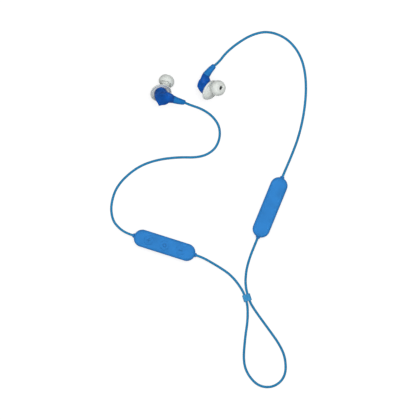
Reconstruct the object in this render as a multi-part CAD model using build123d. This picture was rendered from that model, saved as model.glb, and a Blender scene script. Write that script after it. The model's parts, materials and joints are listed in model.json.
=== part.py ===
from build123d import *
import os
from math import acos, cos, hypot, radians, sin, tan

# Wireless in-ear earphones on a thin neck cord, lying flat on a table at z = 0.
# Two earbuds, a remote pod, a battery pod, and a slider that gathers the cord into a loop.
# Sizes are in millimetres and angles in degrees. The origin is the middle of the remote
# pod's back, where it lies on the table, and +Z is up.

# ---- cord
CORD_DIAMETER = 1.9
CORD_LIFT = 0.05            # height of a lying cord above the table
EXIT_RUN = 5.0              # first straight run out of a grommet or strain relief
BEND_SHARE = 0.45           # share of the shorter run that a bend's arc takes up

# ---- pod housing, shared by the remote and the battery pod
POD_LENGTH = 49.2
POD_WIDTH = 13.4
POD_HEIGHT = 8.0
POD_WALL = 1.2
POD_TOP_ROUND = 2.4
POD_BOTTOM_ROUND = 1.3
POD_INSIDE_ROUND = 0.5
POD_SEAM = 4.4              # height of the rear cover's rim
GASKET_THICKNESS = 0.4
GASKET_SET_BACK = 0.35      # how far the gasket lies inside the pod's outer wall
REMOTE_HEADING = -17.6
BATTERY_POD_AT = (81.2, 29.2)
BATTERY_POD_HEADING = 67.8

# ---- grommets where the cord enters a pod
GROMMET_LENGTH = 1.2
GROMMET_BASE_RADIUS = 2.0
GROMMET_TIP_RADIUS = 1.25
GROMMET_NECK_RADIUS = 1.5
GROMMET_FLANGE_RADIUS = 2.3
GROMMET_FLANGE_THICKNESS = 0.8

# ---- clearances
SLIP = 0.05                 # between pieces that are pushed together
OVERSHOOT = 1.0             # how far a cutting shape reaches past the face it cuts
BUTTON_GAP = 0.2            # round a button in its hole
FLAP_GAP = 0.15             # round the port flap in its recess

# ---- remote electronics
BOARD_END_ROOM = 5.1        # from the board's end to the pod's end
BOARD_WIDTH = 9.6
BOARD_THICKNESS = 0.8
BOARD_BOTTOM = 3.8          # height of the board's underside
POST_RADIUS = 0.8
POST_SPACING_X = 34.0
POST_SPACING_Y = 6.4
SWITCH_SIZE = 3.0
SWITCH_HEIGHT = 1.0
PLUNGER_RADIUS = 0.8
PRESS_GAP = 0.1             # left between a pressed button and its switch
CHIP_SIZE = 5.0
CHIP_HEIGHT = 0.9
ANTENNA_SIZE = (1.6, 5.0, 1.1)
SMALL_CHIP_SIZE = (1.6, 0.8, 0.7)
SMALL_CHIP_PITCH = 2.0
MIC_RADIUS = 1.2
MIC_DEPTH = 1.6
MIC_X = 14.0
MIC_PORT_RADIUS = 0.4
LENS_RADIUS = 0.6
LENS_X = 6.0
LENS_LENGTH = 2.2

# ---- buttons
BUTTON_RADIUS = 3.5
BUTTON_PITCH = 12.8
BUTTON_PROUD = 0.15
BUTTON_FLANGE = 0.55        # how far the button's hidden flange reaches past its cap
BUTTON_FLANGE_THICKNESS = 0.5
BUTTON_TRAVEL = 0.35
BUTTON_EDGE_ROUND = 0.15
SYMBOL_LENGTH = 2.6
SYMBOL_WIDTH = 0.6
SYMBOL_HEIGHT = 0.15

# ---- charging port and its rubber flap, in the remote's lower long side
PORT_X = -6.4
SOCKET_WIDTH = 7.5
SOCKET_DEPTH = 5.2
SOCKET_HEIGHT = 2.4
SOCKET_WALL = 0.3
SOCKET_ROUND = 0.6
TONGUE_THICKNESS = 0.6
PORT_HOLE_MARGIN = 0.1
FLAP_LENGTH = 10.6
FLAP_HEIGHT = 3.1
FLAP_THICKNESS = 0.6
FLAP_PLUG_LENGTH = 6.2
FLAP_PLUG_HEIGHT = 1.5
FLAP_PLUG_DEPTH = 1.2
ANCHOR_LENGTH = 1.6
ANCHOR_STUD_RADIUS = 0.5

# ---- battery
CELL_END_ROOM = 8.1         # from the cell's end to the pod's end
CELL_WIDTH = 9.4
CELL_HEIGHT = 4.4
CELL_ROUND = 1.2
FOAM_SET_BACK = 2.5         # from the foam's end to the cell's end
FOAM_WIDTH = 7.0
PROTECTION_BOARD_LENGTH = 4.0

# ---- cord slider
SLIDER_AT = (63.4, -40.35)
SLIDER_HEADING = -72.0      # direction in which the cord from the remote runs through it
SLIDER_LENGTH = 5.4
SLIDER_BARREL_RADIUS = 1.95
SLIDER_STRAND_SPACING = 2.4
SLIDER_EDGE_ROUND = 0.35
SLIDER_RUN = 4.0            # straight run of each strand, either side of the slider's middle

# ---- earbuds. Each is drawn in its own frame: +Z towards the ear, +X along the cord arm.
# z = 0 is the rim of the silicone flange, and the left earbud mirrors the right one.
CAPSULE_RADIUS = 5.4
SHELL_WALL = 0.9
SHELL_SEAM = -2.2           # where front and rear shell meet, and the centre of the front dome
LEAN_ANGLE = 6.2            # how far the housing leans to the side, going back
BACK_CORNER = (-2.9, -9.0)  # x and z of the sharp corner at the foot of the back
BACK_ANGLE = 13.7           # slope of the back, which falls away towards the arm
FOOT_ANGLE = 54.0           # slope of the foot's slanted flat
SHELL_EDGE_ROUND = 0.5
HEEL_TOWARDS_ANGLE = -99.8  # where the heel's corner lies, round the housing's axis from +X
HEEL_REACH = 2.4            # how far the corner stands out of the capsule at HEEL_BASE
HEEL_BASE = -12.0           # z at which that holds; the corner fades out at the seam
ARM_ROOT_SIZE = (5.4, 3.6)  # half width and half depth of the arm's sections
ARM_MIDDLE_SIZE = (5.2, 3.2)
ARM_TILT_ANGLE = 20.0       # how far those sections turn about the arm
ARM_MIDDLE_X = 5.0
ARM_MIDDLE_SIDE = 1.5       # how far the arm's middle lies to the side
ARM_END = 8.1
ARM_END_SIZE = (3.1, 2.9)
ARM_SIDE = 2.1              # how far the arm's end lies to the side
ARM_AXIS = -9.25

NOZZLE_CANT_ANGLE = 34.0    # tilt of the nozzle from the capsule's axis
NOZZLE_TURN_ANGLE = 51.0    # direction of that tilt, from +X towards +Y
NOZZLE_LENGTH = 5.0         # the nozzle's oval across its long side
NOZZLE_WIDTH = 3.4
NOZZLE_WALL = 0.6
NOZZLE_END = 15.0           # distance from the dome's centre to the nozzle's mouth
MESH_THICKNESS = 0.3
MESH_LEDGE = 0.25

FLANGE_RADIUS = 8.3
FLANGE_THICKNESS = 0.8
FLANGE_SLEEVE_END = 8.5
FLANGE_SLEEVE_RADIUS = 3.3
FLANGE_SHOULDER_SHARE = (0.42, 0.86)    # its profile, as shares of its radius and its height:
FLANGE_SLOPE_SHARE = (0.74, 0.5)        # two places outside,
FLANGE_CUP_SHARE = (0.78, 0.18)         # one inside its lip,
FLANGE_CUP_ROOT_SHARE = (0.62, 0.3)     # where the lip's inside ends,
FLANGE_CORE_SHARE = 0.1                 # and the height at which its middle starts
FLANGE_RIM_LEAN = (0.1, -1)         # direction of the outside at the rim

TIP_RADIUS = 6.1
TIP_WIDEST_AT = 12.4        # distance from the dome's centre
TIP_LENGTH = 6.6
TIP_FRONT_REACH = 4.2       # from the widest place to the tip's front
TIP_SKIRT = 0.7             # thickness of the skirt's wall
TIP_CURL = 0.3              # how far the skirt's free edge lies inside the widest place
TIP_CAP_STEP = 1.0          # from the widest place to the inside of the cap's front
TIP_SKIRT_STEP = 0.4        # from the widest place back to the skirt's inner bend
TIP_SLEEVE_REACH = 1.0      # how far the sleeve reaches behind the skirt's free edge
TIP_EDGE_LEAN = (0.35, 1)   # directions of the outside at the skirt's edge and at the front
TIP_FRONT_LEAN = (-1, 0.25)
TIP_SLEEVE_RADIUS = 3.2
TIP_MOUTH_LENGTH = 3.8
TIP_MOUTH_WIDTH = 2.2

RELIEF_LENGTH = 9.5
RELIEF_END_RADIUS = 1.95
RELIEF_MIDDLE_DROP = 0.35   # how far the relief's middle bows away from the ear
RELIEF_END_AXIS = -8.85
RELIEF_END_SIDE = 0.0
RELIEF_END_ANGLE = 7.0      # how far its end points back towards the ear
SPIGOT_RADIUS = 1.3
SPIGOT_DEPTH = 1.8

DRIVER_ROOM = 0.1           # round the driver in the housing
DRIVER_FRONT = -2.9
DRIVER_DEPTH = 2.4
DIAPHRAGM_THICKNESS = 0.2
DIAPHRAGM_SET_BACK = 0.2    # from the diaphragm's edge to the driver's
COIL_RADIUS = 3.0
COIL_WALL = 0.2
COIL_DEPTH = 1.2
MAGNET_RADIUS = 2.4
MAGNET_THICKNESS = 1.3
YOKE_RADIUS = 3.6
YOKE_WALL = 0.4
YOKE_SET_BACK = 0.5         # from the driver's front to the yoke's rim

# Where each earbud lies: middle of its flange, heading and droop of its arm, roll about it.
RIGHT_BUD_AT = (35.3, 119.3)
RIGHT_BUD_HEADING = 57.8
RIGHT_BUD_DROOP = 0.7
RIGHT_BUD_ROLL = 58.5
LEFT_BUD_AT = (-2.9, 117.4)
LEFT_BUD_HEADING = -6.8
LEFT_BUD_DROOP = 15.7
LEFT_BUD_ROLL = -143.0

# ---- worked out from the sizes above
CORD_RADIUS = CORD_DIAMETER / 2
CORD_REST = CORD_RADIUS + CORD_LIFT
POD_AXIS = POD_HEIGHT / 2
POD_END = POD_LENGTH / 2
POD_CEILING = POD_HEIGHT - POD_WALL
CORD_START = POD_END + GROMMET_LENGTH
BOARD_LENGTH = POD_LENGTH - 2 * BOARD_END_ROOM
CELL_LENGTH = POD_LENGTH - 2 * CELL_END_ROOM
BOARD_TOP = BOARD_BOTTOM + BOARD_THICKNESS
BUTTON_BOTTOM = POD_CEILING - SLIP - BUTTON_FLANGE_THICKNESS
PLUNGER_TOP = BUTTON_BOTTOM - BUTTON_TRAVEL - PRESS_GAP
DOME_CENTRE = (0, 0, SHELL_SEAM)
DRIVER_RADIUS = CAPSULE_RADIUS - SHELL_WALL - DRIVER_ROOM
DIAPHRAGM_RADIUS = DRIVER_RADIUS - DIAPHRAGM_SET_BACK
SOCKET_FLOOR = ARM_END - SPIGOT_DEPTH - SLIP
BORE_LENGTH = NOZZLE_LENGTH - 2 * NOZZLE_WALL
BORE_WIDTH = NOZZLE_WIDTH - 2 * NOZZLE_WALL


def block(size, low_centre, radius=0.0):
    """Box of a given size standing on the point low_centre, with round upright edges."""
    box = Pos(*low_centre) * Box(*size, align=(Align.CENTER, Align.CENTER, Align.MIN))
    return fillet(box.edges().filter_by(Axis.Z), radius) if radius else box


def drum(radius, bottom, top, at=(0, 0)):
    """Upright cylinder between two heights."""
    return Pos(at[0], at[1], (bottom + top) / 2) * Cylinder(radius, top - bottom)


def slab(bottom, top):
    """Everything near the object between two heights."""
    return block((2 * POD_LENGTH, 2 * POD_LENGTH, top - bottom), (0, 0, bottom))


# ---- pods

def pod_block(inset, top_round, bottom_round):
    """Solid pod with its surface moved inwards by inset."""
    outline = SlotOverall(POD_LENGTH - 2 * inset, POD_WIDTH - 2 * inset)
    solid = extrude(Pos(0, 0, inset) * outline, POD_HEIGHT - 2 * inset)
    solid = fillet(solid.edges().group_by(Axis.Z)[-1], top_round)
    return fillet(solid.edges().group_by(Axis.Z)[0], bottom_round)


def pod_shells():
    """Front cover, rear cover and gasket of one pod, with the holes for its grommets."""
    outer = pod_block(0, POD_TOP_ROUND, POD_BOTTOM_ROUND)
    hollow = pod_block(POD_WALL, POD_INSIDE_ROUND, POD_INSIDE_ROUND)
    neck = Pos(0, 0, POD_AXIS) * Rot(0, 90, 0) * Cylinder(GROMMET_NECK_RADIUS + SLIP, 2 * POD_LENGTH)
    shell = outer - hollow - neck
    front_rim = POD_SEAM + GASKET_THICKNESS
    gasket_outline = SlotOverall(POD_LENGTH - 2 * GASKET_SET_BACK, POD_WIDTH - 2 * GASKET_SET_BACK)
    ring = extrude(gasket_outline, POD_HEIGHT)
    return {
        "front_cover": shell & slab(front_rim, POD_HEIGHT + OVERSHOOT),
        "rear_cover": shell & slab(-OVERSHOOT, POD_SEAM),
        "gasket": shell & ring & slab(POD_SEAM, front_rim),
    }


def grommet():
    """Soft collar that leads the cord out of the pod's +X end."""
    inner_wall = POD_WIDTH / 2 - POD_WALL
    sink = inner_wall - (inner_wall ** 2 - GROMMET_FLANGE_RADIUS ** 2) ** 0.5
    flange_face = POD_END - POD_WALL - sink - SLIP
    flange_back = flange_face - GROMMET_FLANGE_THICKNESS
    profile = Polyline(
        (flange_back, 0),
        (flange_back, GROMMET_FLANGE_RADIUS),
        (flange_face, GROMMET_FLANGE_RADIUS),
        (flange_face, GROMMET_NECK_RADIUS),
        (POD_END, GROMMET_NECK_RADIUS),
        (POD_END, GROMMET_BASE_RADIUS),
        (CORD_START, GROMMET_TIP_RADIUS),
        (CORD_START, 0),
        close=True,
    )
    return Pos(0, 0, POD_AXIS) * revolve(make_face(profile), Axis.X)


def button_hole(x, margin):
    """Space of one button's cap, widened by margin."""
    return drum(BUTTON_RADIUS + margin, BOARD_TOP, POD_HEIGHT + OVERSHOOT, (x, 0))


def button(x, symbol):
    """Button cap with a hidden flange and a raised plain sign."""
    top = POD_HEIGHT + BUTTON_PROUD
    cap = drum(BUTTON_RADIUS, BUTTON_BOTTOM, top, (x, 0))
    cap = fillet(cap.edges().group_by(Axis.Z)[-1], BUTTON_EDGE_ROUND)
    flange = drum(BUTTON_RADIUS + BUTTON_FLANGE, BUTTON_BOTTOM, POD_CEILING - SLIP, (x, 0))
    raised = extrude(Pos(x, 0, top - SLIP) * symbol, SYMBOL_HEIGHT + SLIP)
    return cap + flange + raised


def sign_shapes():
    """Plus, ring and minus for the three buttons."""
    bar = Rectangle(SYMBOL_LENGTH, SYMBOL_WIDTH)
    plus = bar + Rot(0, 0, 90) * bar
    ring = Circle(SYMBOL_LENGTH / 2) - Circle(SYMBOL_LENGTH / 2 - SYMBOL_WIDTH)
    return plus, ring, bar


def wall_block(x, z, length, height, near, far):
    """Box through the remote's lower long side, from near to far inside its outer wall."""
    middle = -POD_WIDTH / 2 + (near + far) / 2
    return Pos(x, middle, z) * Box(length, far - near, height)


def across(x, y, z):
    """Place with its z axis across the remote's long side."""
    return Pos(x, y, z) * Rot(90, 0, 0)


def charging_port():
    """Socket shell with its tongue, flap, flap anchor and the two cut-outs in the wall."""
    height = BOARD_BOTTOM - SOCKET_HEIGHT / 2
    mouth = POD_WALL + SLIP
    can = wall_block(PORT_X, height, SOCKET_WIDTH, SOCKET_HEIGHT, mouth, mouth + SOCKET_DEPTH)
    can = fillet(can.edges().filter_by(Axis.Y), SOCKET_ROUND)
    inside = wall_block(PORT_X, height, SOCKET_WIDTH - 2 * SOCKET_WALL,
                        SOCKET_HEIGHT - 2 * SOCKET_WALL, mouth, mouth + SOCKET_DEPTH - SOCKET_WALL)
    tongue = wall_block(PORT_X, height, SOCKET_WIDTH / 2, TONGUE_THICKNESS,
                        mouth + 2 * FLAP_PLUG_DEPTH, mouth + SOCKET_DEPTH - SOCKET_WALL)
    hole = wall_block(PORT_X, height, SOCKET_WIDTH + 2 * PORT_HOLE_MARGIN,
                      SOCKET_HEIGHT + 2 * PORT_HOLE_MARGIN, -OVERSHOOT, POD_WALL + OVERSHOOT)
    flap_start = PORT_X - FLAP_LENGTH / 2
    plate = wall_block(PORT_X, height, FLAP_LENGTH, FLAP_HEIGHT, 0, FLAP_THICKNESS)
    plug = wall_block(PORT_X, height, FLAP_PLUG_LENGTH, FLAP_PLUG_HEIGHT,
                      FLAP_THICKNESS, FLAP_THICKNESS + FLAP_PLUG_DEPTH)
    anchor_x = flap_start - FLAP_GAP - ANCHOR_LENGTH / 2
    anchor = wall_block(anchor_x, height, ANCHOR_LENGTH, FLAP_HEIGHT, 0, FLAP_THICKNESS)
    stud_middle = -POD_WIDTH / 2 + (FLAP_THICKNESS + POD_WALL) / 2
    stud = across(anchor_x, stud_middle, height) * Cylinder(ANCHOR_STUD_RADIUS, POD_WALL)
    stud_hole = across(anchor_x, -POD_WIDTH / 2, height) * Cylinder(ANCHOR_STUD_RADIUS + SLIP, 4 * POD_WALL)
    recess_start = flap_start - 2 * FLAP_GAP - ANCHOR_LENGTH
    recess_end = flap_start + FLAP_LENGTH + FLAP_GAP
    recess = wall_block((recess_start + recess_end) / 2, height, recess_end - recess_start,
                        FLAP_HEIGHT + 2 * FLAP_GAP, -OVERSHOOT, FLAP_THICKNESS + SLIP)
    return {
        "usb_socket": can - inside + tongue,
        "port_flap": plate + plug,
        "flap_anchor": anchor + stud,
    }, hole + recess + stud_hole


def remote_pod():
    """All pieces of the remote, lying along X."""
    shells = pod_shells()
    button_places = [-BUTTON_PITCH, 0, BUTTON_PITCH]
    button_names = ["volume_up_button", "play_button", "volume_down_button"]
    port_pieces, port_cuts = charging_port()
    side = -POD_WIDTH / 2
    mic_height = BOARD_BOTTOM - MIC_RADIUS
    mic_middle = side + POD_WALL + SLIP + MIC_DEPTH / 2
    posts = [
        drum(POST_RADIUS, POD_WALL - SLIP, BOARD_BOTTOM, (x, y))
        for x in (-POST_SPACING_X / 2, POST_SPACING_X / 2)
        for y in (-POST_SPACING_Y / 2, POST_SPACING_Y / 2)
    ]
    mic_port = across(MIC_X, side, mic_height) * Cylinder(MIC_PORT_RADIUS, 3 * POD_WALL)
    lens_hole = across(LENS_X, side, mic_height) * Cylinder(LENS_RADIUS + SLIP, 3 * POD_WALL)
    lens_middle = side + LENS_LENGTH / 2
    rear = shells["rear_cover"] + posts - port_cuts - mic_port - lens_hole
    front = shells["front_cover"] - [button_hole(x, BUTTON_GAP) for x in button_places]

    board = block((BOARD_LENGTH, BOARD_WIDTH, BOARD_THICKNESS), (0, 0, BOARD_BOTTOM), POST_RADIUS)
    switches = [
        block((SWITCH_SIZE, SWITCH_SIZE, SWITCH_HEIGHT), (x, 0, BOARD_TOP))
        + drum(PLUNGER_RADIUS, BOARD_TOP, PLUNGER_TOP, (x, 0))
        for x in button_places
    ]
    chip_x = BUTTON_PITCH / 2
    antenna_x = BOARD_LENGTH / 2 - ANTENNA_SIZE[0]
    small_places = [(-chip_x, row) for row in (-1.5, -0.5, 0.5, 1.5)]
    small_places += [(-antenna_x, row) for row in (-1, 1)]
    small_chips = [
        block(SMALL_CHIP_SIZE, (x, row * SMALL_CHIP_PITCH, BOARD_TOP)) for x, row in small_places
    ]
    pieces = {
        "remote_front_cover": front,
        "remote_rear_cover": rear,
        "remote_gasket": shells["gasket"],
        "remote_board": board,
        "tact_switches": Compound(switches),
        "bluetooth_chip": block((CHIP_SIZE, CHIP_SIZE, CHIP_HEIGHT), (chip_x, 0, BOARD_TOP)),
        "chip_antenna": block(ANTENNA_SIZE, (antenna_x, 0, BOARD_TOP)),
        "board_components": Compound(small_chips),
        "microphone": across(MIC_X, mic_middle, mic_height) * Cylinder(MIC_RADIUS, MIC_DEPTH),
        "status_lens": across(LENS_X, lens_middle, mic_height) * Cylinder(LENS_RADIUS, LENS_LENGTH),
        "remote_right_grommet": grommet(),
        "remote_left_grommet": Rot(0, 0, 180) * grommet(),
    }
    for name, x, sign in zip(button_names, button_places, sign_shapes()):
        pieces[name] = button(x, sign)
    return pieces | port_pieces


def battery_pod():
    """All pieces of the battery pod, lying along X."""
    shells = pod_shells()
    cell = block((CELL_LENGTH, CELL_WIDTH, CELL_HEIGHT), (0, 0, POD_WALL))
    cell = fillet(cell.edges().filter_by(Axis.X), CELL_ROUND)
    cell_top = POD_WALL + CELL_HEIGHT
    foam_length = CELL_LENGTH - 2 * FOAM_SET_BACK
    board_x = CELL_LENGTH / 2 + SLIP + PROTECTION_BOARD_LENGTH / 2
    board = block((PROTECTION_BOARD_LENGTH, CELL_WIDTH - 2 * CELL_ROUND, BOARD_THICKNESS),
                  (board_x, 0, POD_WALL))
    chip = block(SMALL_CHIP_SIZE, (board_x, 0, POD_WALL + BOARD_THICKNESS))
    return {
        "battery_front_cover": shells["front_cover"],
        "battery_rear_cover": shells["rear_cover"],
        "battery_gasket": shells["gasket"],
        "battery_cell": cell,
        "battery_foam": block((foam_length, FOAM_WIDTH, POD_CEILING - cell_top), (0, 0, cell_top)),
        "protection_board": board + chip,
        "battery_upper_grommet": grommet(),
        "battery_lower_grommet": Rot(0, 0, 180) * grommet(),
    }


# ---- cord slider

def slider():
    """Figure-of-eight sleeve that grips both strands, lying along X."""
    strands = (-SLIDER_STRAND_SPACING / 2, SLIDER_STRAND_SPACING / 2)
    section = Sketch() + [Pos(y, 0) * Circle(SLIDER_BARREL_RADIUS) for y in strands]
    bores = [Pos(y, 0) * Circle(CORD_RADIUS + SLIP) for y in strands]
    body = extrude(Plane.YZ * section, SLIDER_LENGTH / 2, both=True)
    body = fillet(body.edges().group_by(Axis.X)[0] + body.edges().group_by(Axis.X)[-1], SLIDER_EDGE_ROUND)
    return body - [extrude(Plane.YZ * bore, SLIDER_LENGTH, both=True) for bore in bores]


# ---- earbud, right-hand version

def nozzle_frame():
    """Plane at the dome's centre with z along the nozzle and x nearest to the arm."""
    cant, turn = radians(NOZZLE_CANT_ANGLE), radians(NOZZLE_TURN_ANGLE)
    direction = (sin(cant) * cos(turn), sin(cant) * sin(turn), cos(cant))
    return Plane(origin=DOME_CENTRE, x_dir=(1, 0, -direction[0] / direction[2]), z_dir=direction)


def oval(length, width, bottom, top):
    """Straight oval bar along the nozzle between two distances from the dome's centre."""
    outline = SlotOverall(length, width)
    return nozzle_frame() * extrude(Pos(0, 0, bottom) * outline, top - bottom)


def cross_plane(x, side, z):
    """Plane across the arm at a given place on it."""
    return Plane(origin=(x, side, z), x_dir=(0, 1, 0), z_dir=(1, 0, 0))


def back_z(x):
    """Height of the housing's back at a place along the arm."""
    return BACK_CORNER[1] - tan(radians(BACK_ANGLE)) * (x - BACK_CORNER[0])


def lean(z):
    """Side shift of the leaning housing's middle at a depth."""
    return tan(radians(LEAN_ANGLE)) * (SHELL_SEAM - z)


def tilted_depth(size):
    """Half depth of a tilted oval section of the arm."""
    tilt = radians(ARM_TILT_ANGLE)
    return hypot(size[0] * sin(tilt), size[1] * cos(tilt))


def heel():
    """Pyramid that grows out of the capsule's side into a sharp corner at the back."""
    towards = radians(HEEL_TOWARDS_ANGLE)
    reach = CAPSULE_RADIUS + HEEL_REACH
    spread = acos(CAPSULE_RADIUS / reach)
    rim = [
        (distance * cos(towards + turn), lean(HEEL_BASE) + distance * sin(towards + turn))
        for distance, turn in ((CAPSULE_RADIUS, -spread), (reach, 0), (CAPSULE_RADIUS, spread))
    ]
    base = make_face(Plane.XY.offset(HEEL_BASE) * Polyline((0, lean(HEEL_BASE)), *rim, close=True))
    peak = Vertex(CAPSULE_RADIUS * cos(towards), CAPSULE_RADIUS * sin(towards), SHELL_SEAM)
    return loft([base, peak])


def shell_block(inset, edge_round=0.0):
    """Rear part of the housing: a capsule with a slanted foot, and the arm that leaves its side."""
    reach = 2 * CAPSULE_RADIUS
    foot, back = radians(FOOT_ANGLE), radians(BACK_ANGLE)
    corner = (
        BACK_CORNER[0] + inset * (cos(back) - cos(foot)) / sin(foot - back),
        BACK_CORNER[1] + inset * (sin(foot) - sin(back)) / sin(foot - back),
    )
    foot_top = corner[1] + tan(foot) * (reach + corner[0])
    side = make_face(Polyline((reach, SHELL_SEAM), (-reach, SHELL_SEAM), (-reach, foot_top), corner,
                              (reach, corner[1] - tan(back) * (reach - corner[0])), close=True))
    slope = radians(LEAN_ANGLE)
    capsule = extrude(Plane.XY.offset(SHELL_SEAM) * Circle(CAPSULE_RADIUS - inset), 2 * reach,
                      dir=(0, sin(slope), -cos(slope)))
    if edge_round:
        capsule += heel()
    capsule &= extrude(Plane.XZ * side, reach, both=True)
    if edge_round:
        rims = [edge for edge in capsule.edges() if edge.bounding_box().max.Z < SHELL_SEAM - OVERSHOOT]
        capsule = fillet(rims, edge_round)
    root_axis = back_z(0) + tilted_depth(ARM_ROOT_SIZE)
    middle_axis = back_z(ARM_MIDDLE_X) + tilted_depth(ARM_MIDDLE_SIZE)
    sections = [
        cross_plane(x, side, axis) * Rot(0, 0, -tilt) * Ellipse(half_width - inset, half_depth - inset)
        for x, side, axis, tilt, (half_width, half_depth) in (
            (0, lean(root_axis), root_axis, ARM_TILT_ANGLE, ARM_ROOT_SIZE),
            (ARM_MIDDLE_X, ARM_MIDDLE_SIDE, middle_axis, ARM_TILT_ANGLE, ARM_MIDDLE_SIZE),
            (ARM_END, ARM_SIDE, ARM_AXIS, 0, ARM_END_SIZE),
        )
    ]
    return capsule + loft(sections)


def rear_shell():
    """Housing behind the seam, hollow, with the socket for the strain relief in its arm."""
    body = shell_block(0, SHELL_EDGE_ROUND)
    hollow = shell_block(SHELL_WALL) & block((4 * ARM_END, 4 * ARM_END, 4 * ARM_END),
                                             (SOCKET_FLOOR - 2 * ARM_END, 0, -2 * ARM_END))
    mouth = drum(CAPSULE_RADIUS - SHELL_WALL, DRIVER_FRONT - DRIVER_DEPTH, 0)
    socket_bore = Cylinder(SPIGOT_RADIUS + SLIP, 2 * (SPIGOT_DEPTH + SHELL_WALL))
    return body - hollow - mouth - Pos(ARM_END, ARM_SIDE, ARM_AXIS) * Rot(0, 90, 0) * socket_bore


def front_shell():
    """Dome and nozzle in front of the seam."""
    dome = Pos(*DOME_CENTRE) * Sphere(CAPSULE_RADIUS)
    hollow = Pos(*DOME_CENTRE) * Sphere(CAPSULE_RADIUS - SHELL_WALL)
    nozzle = oval(NOZZLE_LENGTH, NOZZLE_WIDTH, CAPSULE_RADIUS - SHELL_WALL, NOZZLE_END)
    bore = oval(BORE_LENGTH, BORE_WIDTH, 0, NOZZLE_END + OVERSHOOT)
    seat = oval(BORE_LENGTH + 2 * MESH_LEDGE, BORE_WIDTH + 2 * MESH_LEDGE,
                NOZZLE_END - MESH_THICKNESS, NOZZLE_END + OVERSHOOT)
    return (dome & slab(SHELL_SEAM, CAPSULE_RADIUS)) + nozzle - hollow - bore - seat


def nozzle_mesh():
    """Wax guard in the nozzle's mouth."""
    margin = 2 * (MESH_LEDGE - SLIP)
    return oval(BORE_LENGTH + margin, BORE_WIDTH + margin, NOZZLE_END - MESH_THICKNESS, NOZZLE_END)


def ear_flange():
    """Soft silicone flange that steadies the earbud: a dish on the dome with a sleeve."""
    rim = FLANGE_RADIUS
    skin = FLANGE_THICKNESS
    crown = CAPSULE_RADIUS + SHELL_SEAM + skin
    shoulder, slope, cup, cup_root = [
        (across_share * rim, up_share * crown)
        for across_share, up_share in (FLANGE_SHOULDER_SHARE, FLANGE_SLOPE_SHARE,
                                       FLANGE_CUP_SHARE, FLANGE_CUP_ROOT_SHARE)
    ]
    with BuildSketch(Plane.XZ) as dish:
        with BuildLine():
            Spline((0, crown), shoulder, slope, (rim, -skin), tangents=((1, 0), FLANGE_RIM_LEAN))
            Line((rim, -skin), (rim - skin, -skin))
            Spline((rim - skin, -skin), cup, cup_root)
            Polyline(cup_root, (0, FLANGE_CORE_SHARE * crown), (0, crown))
        make_face()
    sleeve = nozzle_frame() * extrude(Pos(0, 0, CAPSULE_RADIUS) * Circle(FLANGE_SLEEVE_RADIUS),
                                      FLANGE_SLEEVE_END - CAPSULE_RADIUS)
    sleeve = fillet(sleeve.edges().filter_by(GeomType.CIRCLE).sort_by(Axis.Z)[-1], skin / 2)
    body = revolve(dish.sketch, Axis.Z) + sleeve
    passage = oval(NOZZLE_LENGTH + 2 * SLIP, NOZZLE_WIDTH + 2 * SLIP, 0, NOZZLE_END)
    return body - Pos(*DOME_CENTRE) * Sphere(CAPSULE_RADIUS + SLIP) - passage


def ear_tip():
    """Mushroom-shaped silicone tip on the nozzle, with an oval mouth."""
    front = TIP_WIDEST_AT + TIP_FRONT_REACH
    back = front - TIP_LENGTH
    sleeve_back = back - TIP_SLEEVE_REACH
    edge = (TIP_RADIUS - TIP_CURL, back)
    inner_edge = (edge[0] - TIP_SKIRT, back)
    sleeve_top = (TIP_SLEEVE_RADIUS, TIP_WIDEST_AT + TIP_CAP_STEP)
    with BuildSketch(Plane.XZ) as cap:
        with BuildLine():
            Spline(edge, (TIP_RADIUS, TIP_WIDEST_AT), (TIP_SLEEVE_RADIUS, front),
                   tangents=(TIP_EDGE_LEAN, TIP_FRONT_LEAN))
            Polyline((TIP_SLEEVE_RADIUS, front), (0, front), (0, sleeve_back),
                     (TIP_SLEEVE_RADIUS, sleeve_back), sleeve_top)
            Spline(sleeve_top, (TIP_RADIUS - 2 * TIP_SKIRT, sleeve_top[1]),
                   (TIP_RADIUS - TIP_SKIRT, TIP_WIDEST_AT - TIP_SKIRT_STEP), inner_edge)
            Line(inner_edge, edge)
        make_face()
    seat = oval(NOZZLE_LENGTH + 2 * SLIP, NOZZLE_WIDTH + 2 * SLIP, 0, NOZZLE_END + SLIP)
    mouth = oval(TIP_MOUTH_LENGTH, TIP_MOUTH_WIDTH, 0, front + OVERSHOOT)
    return nozzle_frame() * revolve(cap.sketch, Axis.Z) - seat - mouth


def relief_end():
    """Plane of the strain relief's end face, with z pointing out along the cord."""
    tilt = radians(RELIEF_END_ANGLE)
    level = Vector(RELIEF_LENGTH, 2 * (RELIEF_END_SIDE - ARM_SIDE), 0).normalized()
    out = level * cos(tilt) + Vector(0, 0, sin(tilt))
    origin = (ARM_END + RELIEF_LENGTH, RELIEF_END_SIDE, RELIEF_END_AXIS)
    return Plane(origin=origin, x_dir=Vector(0, 0, 1).cross(out), z_dir=out)


def strain_relief():
    """Tapered, slightly bowed sleeve between arm and cord, with a spigot in the arm."""
    half_width, half_depth = ARM_END_SIZE
    middle_x = ARM_END + RELIEF_LENGTH / 2
    middle_side = (ARM_SIDE + RELIEF_END_SIDE) / 2
    middle_z = (ARM_AXIS + RELIEF_END_AXIS) / 2 - RELIEF_MIDDLE_DROP
    start = cross_plane(ARM_END, ARM_SIDE, ARM_AXIS)
    middle = cross_plane(middle_x, middle_side, middle_z)
    body = loft([
        start * Ellipse(half_width, half_depth),
        middle * Ellipse((half_width + RELIEF_END_RADIUS) / 2, (half_depth + RELIEF_END_RADIUS) / 2),
        relief_end() * Circle(RELIEF_END_RADIUS),
    ])
    return body + start * extrude(Circle(SPIGOT_RADIUS), -SPIGOT_DEPTH)


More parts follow.
